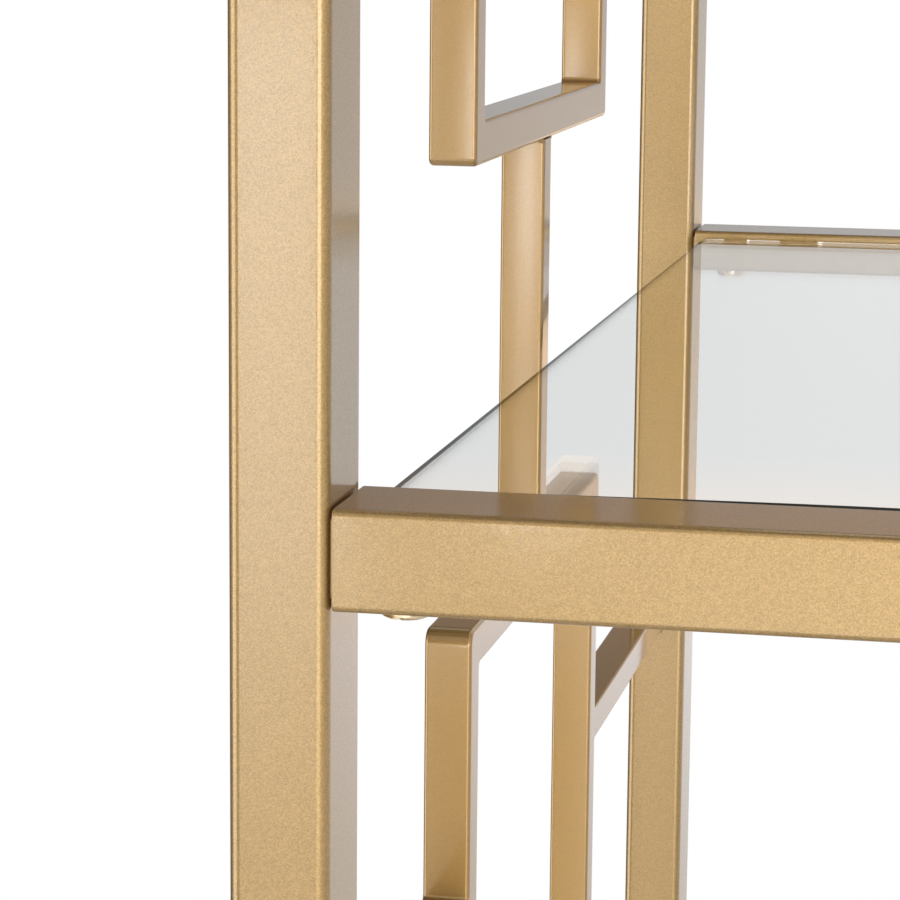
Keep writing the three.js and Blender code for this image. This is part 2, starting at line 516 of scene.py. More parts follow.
@dataclass(frozen=True)
class GoldPaint:
    """Metallic gold paint: fine flakes under a clear satin coat with a faint orange peel."""

    name: str
    shade: Colour
    glint: Colour
    flakes_per_metre: float = 6000
    cloud_scale: float = 9
    cloud_detail: float = 3.0
    cloud_share: float = 0.12
    metallic: float = 0.8
    roughness: float = 0.45
    flake_tilt: float = 0.21
    flake_height: float = 0.00003
    coat: float = 1.0
    coat_index: float = 1.65
    coat_roughness: float = 0.09
    peel_scale: float = 420
    peel_detail: float = 1.0
    peel_strength: float = 1.0
    peel_height: float = 0.000012

    def material(self) -> bpy.types.Material:
        """Builds the paint.

        Returns:
            The material.
        """
        material, tree, shader, place = shader_tree(self.name)
        flakes = tree.add(
            "ShaderNodeTexVoronoi", {"Vector": place, "Scale": self.flakes_per_metre, "Randomness": 1.0}
        )
        clouds = tree.noise(place, self.cloud_scale, self.cloud_detail)
        flake_value = tree.add("ShaderNodeSeparateColor", {"Color": flakes.outputs["Color"]})
        cloudy = tree.add(
            "ShaderNodeMix",
            {0: self.cloud_share, 2: flake_value.outputs["Red"], 3: clouds},
            {"data_type": "FLOAT"},
        )
        tint = tree.ramp(cloudy.outputs[0], ((0.0, self.shade), (1.0, self.glint)))
        flake_normal = tree.bump(flake_value.outputs["Green"], self.flake_height, self.flake_tilt)
        peel = tree.noise(place, self.peel_scale, self.peel_detail)
        peel_normal = tree.bump(peel, self.peel_height, self.peel_strength)
        tree.feed(shader.inputs["Base Color"], tint.outputs["Color"])
        tree.feed(shader.inputs["Normal"], flake_normal)
        tree.feed(shader.inputs["Coat Normal"], peel_normal)
        tree.feed(shader.inputs["Metallic"], self.metallic)
        tree.feed(shader.inputs["Roughness"], self.roughness)
        tree.feed(shader.inputs["Coat Weight"], self.coat)
        tree.feed(shader.inputs["Coat IOR"], self.coat_index)
        tree.feed(shader.inputs["Coat Roughness"], self.coat_roughness)
        return material


@dataclass(frozen=True)
class ScrewMetal:
    """Bright brass-coloured plating with fine turning marks."""

    name: str = "screw plating"
    dark: Colour = (0.78, 0.60, 0.36, 1)
    light: Colour = (0.95, 0.80, 0.56, 1)
    dark_share: float = 0.3
    light_share: float = 0.7
    roughness: float = 0.16
    mark_scale: float = 900
    mark_detail: float = 3.0
    mark_strength: float = 0.5
    mark_height: float = 0.00001

    def material(self) -> bpy.types.Material:
        """Builds the plating.

        Returns:
            The material.
        """
        material, tree, shader, place = shader_tree(self.name)
        marks = tree.noise(place, self.mark_scale, self.mark_detail)
        tint = tree.ramp(marks, ((self.dark_share, self.dark), (self.light_share, self.light)))
        tree.feed(shader.inputs["Base Color"], tint.outputs["Color"])
        tree.feed(shader.inputs["Normal"], tree.bump(marks, self.mark_height, self.mark_strength))
        tree.feed(shader.inputs["Metallic"], 1.0)
        tree.feed(shader.inputs["Roughness"], self.roughness)
        return material


@dataclass(frozen=True)
class ClearGlass:
    """Clear float glass."""

    name: str = "clear glass"
    tint: Colour = (0.985, 1.0, 0.992, 1)
    index: float = 1.5
    film_scale: float = 14.0
    film_detail: float = 2.0
    haze_roughness: float = 0.012

    def material(self) -> bpy.types.Material:
        """Builds the glass.

        Returns:
            The material.
        """
        material, tree, shader, place = shader_tree(self.name)
        film = tree.noise(place, self.film_scale, self.film_detail)
        haze = tree.ramp(film, ((0.0, grey(0.0)), (1.0, grey(self.haze_roughness))))
        tree.feed(shader.inputs["Base Color"], self.tint)
        tree.feed(shader.inputs["Roughness"], haze.outputs["Color"])
        tree.feed(shader.inputs["IOR"], self.index)
        tree.feed(shader.inputs["Transmission Weight"], 1.0)
        return material


@dataclass(frozen=True)
class GroundEdge:
    """The flat ground edge of a glass pane: a grey-green satin face."""

    name: str = "ground glass edge"
    dark: Colour = (0.19, 0.235, 0.228, 1)
    light: Colour = (0.37, 0.43, 0.42, 1)
    dark_share: float = 0.25
    light_share: float = 0.75
    grind_scale: float = 1400
    grind_detail: float = 4.0
    roughness: float = 0.5
    specular: float = 0.1

    def material(self) -> bpy.types.Material:
        """Builds the ground edge.

        Returns:
            The material.
        """
        material, tree, shader, place = shader_tree(self.name)
        grind = tree.noise(place, self.grind_scale, self.grind_detail)
        tint = tree.ramp(grind, ((self.dark_share, self.dark), (self.light_share, self.light)))
        tree.feed(shader.inputs["Base Color"], tint.outputs["Color"])
        tree.feed(shader.inputs["Roughness"], self.roughness)
        tree.feed(shader.inputs["Specular IOR Level"], self.specular)
        return material


@dataclass(frozen=True)
class Moulding:
    """A moulded rubber or plastic with a fine matt grain."""

    name: str
    dark: Colour
    light: Colour
    roughness: float
    dark_share: float = 0.3
    light_share: float = 0.7
    grain_scale: float = 1600
    grain_detail: float = 3.0
    grain_strength: float = 0.6
    grain_height: float = 0.00004
    transmission: float = 0.0

    def material(self) -> bpy.types.Material:
        """Builds the moulding's finish.

        Returns:
            The material.
        """
        material, tree, shader, place = shader_tree(self.name)
        grain = tree.noise(place, self.grain_scale, self.grain_detail)
        tint = tree.ramp(grain, ((self.dark_share, self.dark), (self.light_share, self.light)))
        tree.feed(shader.inputs["Base Color"], tint.outputs["Color"])
        tree.feed(shader.inputs["Normal"], tree.bump(grain, self.grain_height, self.grain_strength))
        tree.feed(shader.inputs["Roughness"], self.roughness)
        tree.feed(shader.inputs["Transmission Weight"], self.transmission)
        return material


class Finishes:
    """The etagere's materials, each made once."""

    def __init__(self) -> None:
        """Builds every finish."""
        self.frame = GoldPaint(
            "frame paint", shade=(0.318, 0.203, 0.070, 1), glint=(0.535, 0.341, 0.122, 1)
        ).material()
        self.fretwork = GoldPaint(
            "fretwork paint",
            shade=(0.405, 0.240, 0.073, 1),
            glint=(0.475, 0.285, 0.088, 1),
            flake_tilt=0.06,
            peel_height=0.000004,
        ).material()
        self.screw = ScrewMetal().material()
        self.glass = ClearGlass().material()
        self.glass_edge = GroundEdge().material()
        self.foot = Moulding(
            "foot plastic",
            dark=(0.010, 0.009, 0.008, 1),
            light=(0.022, 0.020, 0.018, 1),
            roughness=0.55,
        ).material()
        # Near-black rubber for the strips that paint the shade in the gap between each front rail and its
        # pane.
        self.gap_shade = Moulding(
            "seal rubber",
            dark=(0.006, 0.008, 0.006, 1),
            light=(0.016, 0.020, 0.016, 1),
            roughness=0.6,
        ).material()
        self.dot = Moulding(
            "clear silicone",
            dark=(0.86, 0.88, 0.87, 1),
            light=(0.95, 0.96, 0.955, 1),
            roughness=0.22,
            transmission=0.85,
        ).material()


def dress(
    piece: bpy.types.Object,
    materials: Sequence[bpy.types.Material],
    body: str = FRAME_BODY,
    nodes: Sequence[str] = (),
) -> None:
    """Gives a piece its finish and its body, hides the CAD nodes that it stands for, and reports it.

    Args:
        piece: the finished object.
        materials: its materials, in the order of its faces' finish numbers.
        body: the CAD body that it rides on.
        nodes: the CAD nodes that it replaces.
    """
    piece.data.materials.clear()
    for material in materials:
        piece.data.materials.append(material)
    if nodes:
        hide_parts(*nodes)
    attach(piece, body)
    LOG.info("%s: %d faces on %s", piece.name, len(piece.data.polygons), body)


@dataclass(frozen=True)
class TubeStock:
    """The flat-sided steel tube of the posts and rails, and how its cut ends are rounded by paint."""

    corner: float
    wall: float = 0.0012
    cut_round: float = 0.0003
    cap_round: float = 0.0006
    corner_steps: int = 8
    cut_steps: int = 3

    def outline(self, width: float, height: float) -> Outline:
        """The tube's outer section, from its size along the first and the second axis."""
        return Outline.rectangle(width, height, self.corner, self.corner_steps)

    def open_tube(self, draft: Draft, width: float, height: float, length: float, place: Matrix) -> None:
        """Adds a tube that is open at both ends.

        Args:
            draft: the mesh that it is added to.
            width: the section's size along the first axis.
            height: the section's size along the second axis.
            length: the tube's length.
            place: where the tube goes.
        """
        outer = block_stations(length, self.cut_round, self.cut_steps)
        inner = [(self.wall - inset, height_at) for inset, height_at in reversed(outer)]
        rings = draft.walls(self.outline(width, height), outer + inner, place)
        draft.bridge(rings[-1], rings[0])

    def capped_tube(self, draft: Draft, width: float, height: float, length: float, place: Matrix) -> None:
        """Adds a tube that is open at its lower end and capped at its upper one.

        Args:
            draft: the mesh that it is added to.
            width: the section's size along the first axis.
            height: the section's size along the second axis.
            length: the tube's length.
            place: where the tube goes.
        """
        lower = block_stations(length, self.cut_round, self.cut_steps)[: self.cut_steps + 1]
        upper = block_stations(length, self.cap_round, self.cut_steps)[self.cut_steps + 1 :]
        inner = [(self.wall - inset, height_at) for inset, height_at in reversed(lower)]
        ceiling = (self.wall, length / 2 - self.wall)
        rings = draft.walls(self.outline(width, height), [ceiling] + inner + lower + upper, place)
        draft.cap([rings[0]])
        draft.cap([rings[-1]])


@dataclass(frozen=True)
class ScrewHole:
    """The hole that a screw goes through, in a rail's underside or in a tongue."""

    diameter: float = 0.0047
    inset: float = 0.0092
    sides: int = 32

    def cutter(self, centre: Vector, length: float) -> bpy.types.Object:
        """Makes an upright cylinder to cut the hole with.

        Args:
            centre: the middle of the cylinder.
            length: its length.

        Returns:
            The cutter.
        """
        radius = self.diameter / 2
        draft = Draft()
        profile = [(0, -length / 2), (radius, -length / 2), (radius, length / 2), (0, length / 2)]
        draft.lathe(profile, self.sides)
        cutter = draft.build("drill")
        cutter.data.transform(Matrix.Translation(centre))
        return cutter


@dataclass
class Posts:
    """The four corner posts, each a capped tube with a tongue for every shelf rail."""

    stock: TubeStock
    finishes: Finishes
    tongue_play: float = 0.0004
    tongue_round: float = 0.0003
    hole: ScrewHole = ScrewHole()

    def build(self) -> None:
        """Makes and dresses every post."""
        rail = Extent.of(TUBE_NODE)
        width, depth = rail.size.x, rail.size.z
        for side, sign in SIDES.items():
            for face in FACES:
                node = f"post_{face}_{side}"
                self.build_post(node, sign, width, depth)

    def build_post(self, node: str, sign: int, width: float, depth: float) -> None:
        """Makes and dresses one post.

        Args:
            node: the CAD node that it stands for.
            sign: -1 on the left and 1 on the right.
            width: the post's size along X.
            depth: the post's size along Y.
        """
        extent = Extent.of(node)
        outer_x = extent.low.x if sign < 0 else extent.high.x
        centre = Vector((outer_x - sign * width / 2, extent.centre.y, extent.centre.z))
        draft = Draft()
        self.stock.capped_tube(draft, width, depth, extent.size.z, Matrix.Translation(centre))
        post = draft.build(f"painted_{node}")
        reach = extent.size.x - width
        for level in LEVELS:
            rail = Extent.of(f"shelf_rail_front_{level}")
            root = Vector((centre.x - sign * width / 2, centre.y, rail.centre.z))
            Bench.combine(post, self.tongue(root, -sign, reach, width, depth), Operation.JOIN)
        Bench.smooth(post)
        dress(post, [self.finishes.frame], nodes=[node])

    def tongue(
        self, root: Vector, toward: int, reach: float, narrow: float, wide: float
    ) -> bpy.types.Object:
        """Makes the tongue that a rail slides over, with its screw hole.

        Args:
            root: where it leaves the post's face.
            toward: the sign of X that it points to.
            reach: its length.
            narrow: the tube's smaller size.
            wide: the tube's larger size.

        Returns:
            The tongue.
        """
        spare = 2 * (self.stock.wall + self.tongue_play)
        embed = self.stock.wall / 2
        outline = Outline.rectangle(wide - spare, narrow - spare, self.tongue_round, self.stock.cut_steps)
        centre = root + Vector((toward * (reach - embed) / 2, 0, 0))
        place = Matrix.Translation(centre) @ Axis.X.value
        draft = Draft()
        draft.block([outline], block_stations(reach + embed, self.tongue_round, self.stock.cut_steps), place)
        tongue = draft.build("tongue")
        hole = root + Vector((toward * self.hole.inset, 0, 0))
        Bench.combine(tongue, self.hole.cutter(hole, narrow), Operation.CUT)
        return tongue


@dataclass
class ShelfRails:
    """The front and rear rail of every shelf, each with two tabs under the glass."""

    stock: TubeStock
    finishes: Finishes
    tab_length: float = 0.022
    tab_thickness: float = 0.0015
    tab_inset: float = 0.095
    tab_corner: float = 0.003
    tab_round: float = 0.0003
    tab_depth: float = 0.0083
    end_gap: float = 0.0004
    hole: ScrewHole = ScrewHole()

    def build(self) -> None:
        """Makes and dresses every rail."""
        for face, sign in FACES.items():
            for level in LEVELS:
                self.build_rail(f"shelf_rail_{face}_{level}", sign)

    def tube_depth(self) -> float:
        """The rail's size along Y without its tabs."""
        return Extent.of(TUBE_NODE).size.z

    def tube_centre(self, node: str, sign: int) -> Vector:
        """The middle of a rail's tube.

        Args:
            node: the rail's CAD node.
            sign: -1 at the front and 1 at the rear.

        Returns:
            The point.
        """
        extent = Extent.of(node)
        outer_y = extent.low.y if sign < 0 else extent.high.y
        return Vector((extent.centre.x, outer_y - sign * self.tube_depth() / 2, extent.centre.z))

    def tab_places(self, node: str, sign: int) -> list[Vector]:
        """Where a rail's tabs leave its inner face, at the height of their upper side.

        Args:
            node: the rail's CAD node.
            sign: -1 at the front and 1 at the rear.

        Returns:
            One point for each tab.
        """
        extent = Extent.of(node)
        centre = self.tube_centre(node, sign)
        reach = extent.size.x / 2 + self.end_gap - self.tab_inset
        inner_y = centre.y - sign * self.tube_depth() / 2
        height = extent.high.z - self.tab_depth
        return [Vector((end * reach, inner_y, height)) for end in (-1, 1)]

    def build_rail(self, node: str, sign: int) -> None:
        """Makes and dresses one rail.

        Args:
            node: the CAD node that it stands for.
            sign: -1 at the front and 1 at the rear.
        """
        extent = Extent.of(node)
        centre = self.tube_centre(node, sign)
        depth, height = self.tube_depth(), extent.size.z
        draft = Draft()
        place = Matrix.Translation(centre) @ Axis.X.value
        self.stock.open_tube(draft, depth, height, extent.size.x, place)
        rail = draft.build(f"painted_{node}")
        for end in (-1, 1):
            x = end * (extent.size.x / 2 + self.end_gap - self.hole.inset)
            hole = Vector((x, centre.y, extent.low.z))
            Bench.combine(rail, self.hole.cutter(hole, height / 2), Operation.CUT)
        reach = extent.size.y - depth
        for root in self.tab_places(node, sign):
            Bench.combine(rail, self.tab(root, -sign, reach), Operation.JOIN)
        Bench.smooth(rail)
        dress(rail, [self.finishes.frame], nodes=[node])

    def tab(self, root: Vector, toward: int, reach: float) -> bpy.types.Object:
        """Makes one tab: a plate with round outer corners, welded by its inner edge.

        Args:
            root: where its upper side leaves the rail.
            toward: the sign of Y that it points to.
            reach: how far it stands out.

        Returns:
            The tab.
        """
        half = self.tab_length / 2
        embed = self.stock.wall / 2
        sides = ((-half, -embed), (half, -embed), (half, reach), (-half, reach))
        corners = [Vector(corner) for corner in sides]
        radii = [0, 0, self.tab_corner, self.tab_corner]
        outline = Outline.through(corners, radii, self.stock.corner_steps)
        turn = Matrix.Diagonal((1, toward, 1, 1))
        place = Matrix.Translation(root - Vector((0, 0, self.tab_thickness / 2))) @ turn
        draft = Draft()
        stations = block_stations(self.tab_thickness, self.tab_round, self.stock.cut_steps)
        draft.block([outline], stations, place)
        return draft.build("tab")


@dataclass
class EndRails:
    """The tubes that close the top and the bottom of each welded side."""

    stock: TubeStock
    finishes: Finishes

    def build(self) -> None:
        """Makes and dresses every end rail."""
        for side in SIDES:
            for level in ("bottom", "top"):
                node = f"end_rail_{level}_{side}"
                extent = Extent.of(node)
                place = Matrix.Translation(extent.centre) @ Axis.Y.value
                draft = Draft()
                self.stock.open_tube(draft, extent.size.z, extent.size.x, extent.size.y, place)
                rail = draft.build(f"painted_{node}")
                Bench.smooth(rail)
                dress(rail, [self.finishes.frame], nodes=[node])


class Pattern:
    """Geometry Nodes that set copies of a part, and turn the result into plain meshes."""

    @staticmethod
    def socket(tree: bpy.types.NodeTree, name: str) -> str:
        """The identifier of a tree's named input.

        Args:
            tree: the tree.
            name: the input's name.

        Returns:
            The identifier that a modifier uses.
        """
        return next(
            item.identifier
            for item in tree.interface.items_tree
            if item.name == name and item.in_out == "INPUT"
        )

    @staticmethod
    def start(name: str, inputs: dict[str, str]) -> tuple[Tree, bpy.types.Node, bpy.types.Node]:
        """Starts a tree with named inputs and one geometry output.

        Args:
            name: the tree's name.
            inputs: the socket type of each named input.

        Returns:
            The tree, its group input and its group output.
        """
        group = bpy.data.node_groups.new(name, "GeometryNodeTree")
        for label, kind in inputs.items():
            group.interface.new_socket(label, in_out="INPUT", socket_type=kind)
        group.interface.new_socket("Geometry", in_out="OUTPUT", socket_type="NodeSocketGeometry")
        tree = Tree(group)
        return tree, tree.add("NodeGroupInput"), tree.add("NodeGroupOutput")

    @staticmethod
    def finish(
        tree: Tree, source: bpy.types.Node, result: bpy.types.Node, shape: bpy.types.NodeSocket
    ) -> None:
        """Ends a tree in Realize Instances and Set Material.

        Args:
            tree: the tree.
            source: its group input.
            result: its group output.
            shape: the geometry to end with.
        """
        real = tree.add("GeometryNodeRealizeInstances", {"Geometry": shape})
        dressed = tree.add(
            "GeometryNodeSetMaterial",
            {"Geometry": real.outputs["Geometry"], "Material": source.outputs["Finish"]},
        )
        tree.feed(result.inputs["Geometry"], dressed.outputs["Geometry"])

    @staticmethod
    def run(piece: bpy.types.Object, tree: bpy.types.NodeTree, values: dict[str, object]) -> None:
        """Runs a tree on a piece and settles the result.

        Args:
            piece: the object that carries the tree.
            tree: the tree.
            values: the value of each named input.
        """
        modifier = piece.modifiers.new("pattern", "NODES")
        modifier.node_group = tree
        for name, value in values.items():
            modifier[Pattern.socket(tree, name)] = value
        Bench.settle(piece)


class CopiesTree:
    """A tree that sets a copy of a part on every point, turned as the point's "turn" says."""

    turn_name = "turn"

    def __init__(self) -> None:
        """Builds the tree."""
        tree, source, result = Pattern.start(
            "copies",
            {
                "Geometry": "NodeSocketGeometry",
                "Part": "NodeSocketObject",
                "Finish": "NodeSocketMaterial",
            },
        )
        part = tree.add("GeometryNodeObjectInfo", {"Object": source.outputs["Part"]})
        turn = tree.add(
            "GeometryNodeInputNamedAttribute", {"Name": self.turn_name}, {"data_type": "FLOAT_VECTOR"}
        )
        rotation = tree.add("FunctionNodeEulerToRotation", {"Euler": turn.outputs["Attribute"]})
        copies = tree.add(
            "GeometryNodeInstanceOnPoints",
            {
                "Points": source.outputs["Geometry"],
                "Instance": part.outputs["Geometry"],
                "Rotation": rotation.outputs["Rotation"],
            },
        )
        Pattern.finish(tree, source, result, copies.outputs["Instances"])
        self.tree = tree.tree

    def set_out(
        self,
        name: str,
        part: bpy.types.Object,
        places: Sequence[tuple[Vector, Euler]],
        finish: bpy.types.Material,
    ) -> bpy.types.Object:
        """Sets copies of a part at given places and uses the part up.

        Args:
            name: the name of the piece that holds the copies.
            part: the part, drawn about the origin.
            places: where each copy goes and how it is turned.
            finish: the copies' material.

        Returns:
            The piece, as a plain mesh.
        """
        mesh = bpy.data.meshes.new(name)
        mesh.from_pydata([point for point, _ in places], [], [])
        turns = mesh.attributes.new(self.turn_name, "FLOAT_VECTOR", "POINT")
        turns.data.foreach_set("vector", [angle for _, turn in places for angle in turn])
        piece = bpy.data.objects.new(name, mesh)
        bpy.context.scene.collection.objects.link(piece)
        Pattern.run(piece, self.tree, {"Part": part, "Finish": finish})
        Bench.discard(part)
        Bench.smooth(piece)
        return piece


class ColumnTree:
    """A tree that stacks the loops and links of one fretwork side at the shelf pitch."""

    def __init__(self) -> None:
        """Builds the tree."""
        tree, source, result = Pattern.start(
            "fretwork column",
            {
                "Geometry": "NodeSocketGeometry",
                "Loop": "NodeSocketObject",
                "Link": "NodeSocketObject",
                "Foot Link": "NodeSocketObject",
                "Head Link": "NodeSocketObject",
                "Bays": "NodeSocketInt",
                "Pitch": "NodeSocketFloat",
                "Side": "NodeSocketFloat",
                "Finish": "NodeSocketMaterial",
            },
        )
        step = tree.add("ShaderNodeCombineXYZ", {"Z": source.outputs["Pitch"]})
        fewer = tree.add("ShaderNodeMath", {0: source.outputs["Bays"], 1: 1.0}, {"operation": "SUBTRACT"})
        start = tree.add("ShaderNodeCombineXYZ", {"X": source.outputs["Side"]})
        stacks = []
        for label, count in (
            ("Loop", source.outputs["Bays"]),
            ("Link", fewer.outputs[0]),
            ("Foot Link", 1),
            ("Head Link", 1),
        ):
            part = tree.add("GeometryNodeObjectInfo", {"Object": source.outputs[label]})
            line = tree.add(
                "GeometryNodeMeshLine",
                {
                    "Count": count,
                    "Start Location": start.outputs["Vector"],
                    "Offset": step.outputs["Vector"],
                },
                {"mode": "OFFSET", "count_mode": "TOTAL"},
            )
            copies = tree.add(
                "GeometryNodeInstanceOnPoints",
                {"Points": line.outputs["Mesh"], "Instance": part.outputs["Geometry"]},
            )
            stacks.append(copies.outputs["Instances"])
        joined = tree.add("GeometryNodeJoinGeometry")
        for stack in reversed(stacks):
            tree.feed(joined.inputs["Geometry"], stack)
        Pattern.finish(tree, source, result, joined.outputs["Geometry"])
        self.tree = tree.tree


@dataclass
class Fretwork:
    """The loops of solid bar that fill each side, the links between them and the ties to the posts."""

    finishes: Finishes
    bar_round: float = 0.0008
    weld_round: float = 0.0006
    loop_width: float = 0.150
    top_drop: float = 0.0009
    top_corner: float = 0.0031
    bottom_corner: float = 0.0016
    hole_corner: float = 0.0010
    tie_inset: float = 0.053
    corner_steps: int = 6
    edge_steps: int = 4
    tree: ColumnTree = field(default_factory=ColumnTree)

    def build(self) -> None:
        """Makes and dresses the fretwork of each side."""
        for side in SIDES:
            loops = [f"fret_loop_{side}_{bay}" for bay in BAYS]
            links = [f"fret_link_{side}_{level}" for level in LEVELS]
            middle = Extent.of(loops[0]).centre.x
            parts = {
                "Loop": self.loop(Extent.of(loops[0])),
                "Link": self.link(Extent.of(links[1]), self.top_drop),
                "Foot Link": self.link(Extent.of(links[0]), 0),
                "Head Link": self.link(Extent.of(links[-1]), self.top_drop),
            }
            pitch = Extent.of(loops[1]).centre.z - Extent.of(loops[0]).centre.z
            piece = bpy.data.objects.new(f"painted_fretwork_{side}", bpy.data.meshes.new("fretwork"))
            bpy.context.scene.collection.objects.link(piece)
            values = {"Bays": len(BAYS), "Pitch": pitch, "Side": middle, "Finish": self.finishes.fretwork}
            Pattern.run(piece, self.tree.tree, {**parts, **values})
            for part in parts.values():
                Bench.discard(part)
            Bench.smooth(piece)
            dress(piece, [self.finishes.fretwork], nodes=loops + links)

    def link(self, extent: Extent, reach: float) -> bpy.types.Object:
        """Makes an upright link, drawn about X = 0.

        Args:
            extent: the box of the link's CAD node.
            reach: how much further down it goes, to the top of a loop.

        Returns:
            The link.
        """
        outline = Outline.rectangle(extent.size.x, extent.size.y, self.bar_round, self.edge_steps)
        place = Matrix.Translation(Vector((0, extent.centre.y, extent.centre.z)))
        draft = Draft()
        half = extent.size.z / 2
        draft.block([outline], [(0, -half - reach), (0, half)], place)
        return draft.build("link")

    def loop(self, extent: Extent) -> bpy.types.Object:
        """Makes a loop with its four ties, drawn about X = 0.

        Args:
            extent: the box of the loop's CAD node.

        Returns:
            The loop.
        """
        bar = Extent.of(BAR_NODE).size.y
        half_height = extent.size.z / 2
        half_reach = extent.size.y / 2
        half_width = self.loop_width / 2
        tie_top = half_height - self.tie_inset
        tie_bottom = tie_top - bar
        right: list[tuple[float, float, float]] = [
            (half_width, -half_height, self.bottom_corner),
            (half_width, -tie_top, self.weld_round),
            (half_reach, -tie_top, 0),
            (half_reach, -tie_bottom, 0),
            (half_width, -tie_bottom, self.weld_round),
            (half_width, tie_bottom, self.weld_round),
            (half_reach, tie_bottom, 0),
            (half_reach, tie_top, 0),
            (half_width, tie_top, self.weld_round),
            (half_width, half_height - self.top_drop, self.top_corner),
        ]
        left = [(-y, z, radius) for y, z, radius in reversed(right)]
        corners = [Vector((y, z)) for y, z, _ in right + left]
        outer = Outline.through(corners, [radius for _, _, radius in right + left], self.corner_steps)
        inner_width = half_width - bar
        inner_bottom, inner_top = bar - half_height, half_height - bar - self.top_drop
        hole_corners = [
            Vector((inner_width, inner_bottom)),
            Vector((-inner_width, inner_bottom)),
            Vector((-inner_width, inner_top)),
            Vector((inner_width, inner_top)),
        ]
        hole = Outline.through(hole_corners, [self.hole_corner] * len(hole_corners), self.edge_steps)
        place = Matrix.Translation(Vector((0, extent.centre.y, extent.centre.z))) @ Axis.X.value
        draft = Draft()
        draft.block([outer, hole], block_stations(extent.size.x, self.bar_round, self.edge_steps), place)
        return draft.build("loop")


@dataclass
class WeldBeads:
    """The small weld beads where the ties meet the posts and where the links meet the loops."""

    finishes: Finishes
    copies: CopiesTree
    radius: float = 0.0008
    count: int = 6
    sides: int = 8
    rings: int = 4

    def build(self) -> None:
        """Makes and dresses the beads of each side."""
        for side in SIDES:
            loops = [Extent.of(f"fret_loop_{side}_{bay}") for bay in BAYS]
            links = [Extent.of(f"fret_link_{side}_{level}") for level in LEVELS]
            lines = [line for loop in loops for line in self.tie_lines(loop)]
            drops = [0] + [Fretwork.top_drop] * (len(links) - 1)
            for link, drop in zip(links, drops):
                lines += self.link_lines(link, drop)
            places = [(place, Euler()) for line in lines for place in self.row(line, links[0])]
            piece = self.copies.set_out(f"weld_beads_{side}", self.bead(), places, self.finishes.fretwork)
            dress(piece, [self.finishes.fretwork])

    def tie_lines(self, loop: Extent) -> list[Vector]:
        """Where the ties' upper and lower faces meet the posts.

        Args:
            loop: the box of the loop's CAD node, which its ties reach out of.

        Returns:
            One point for each line, at X = 0.
        """
        bar = Extent.of(BAR_NODE).size.y
        tie_top = loop.size.z / 2 - Fretwork.tie_inset
        heights = [loop.centre.z + sign * height for sign in (-1, 1) for height in (tie_top, tie_top - bar)]
        return [Vector((0, y, height)) for height in heights for y in (loop.low.y, loop.high.y)]

    def link_lines(self, link: Extent, drop: float) -> list[Vector]:
        """Where a link's faces meet the bars that it joins, its foot a drop below its CAD node's box."""
        heights = (link.low.z - drop, link.high.z)
        return [Vector((0, y, z)) for z in heights for y in (link.low.y, link.high.y)]

    def row(self, line: Vector, bar: Extent) -> list[Vector]:
        """Spaces beads along X across a bar.

        Args:
            line: the line's place along Y and Z.
            bar: the box whose width the row crosses.

        Returns:
            The middle of each bead.
        """
        start, end = bar.low.x + self.radius, bar.high.x - self.radius
        steps = [index / (self.count - 1) for index in range(self.count)]
        return [Vector((start + (end - start) * step, line.y, line.z)) for step in steps]

    def bead(self) -> bpy.types.Object:
        """Makes one bead about the origin.

        Returns:
            The bead.
        """
        angles = [math.pi * step / self.rings for step in range(self.rings + 1)]
        profile = [(self.radius * math.sin(angle), -self.radius * math.cos(angle)) for angle in angles]
        draft = Draft()
        draft.lathe(profile, self.sides)
        return draft.build("bead")


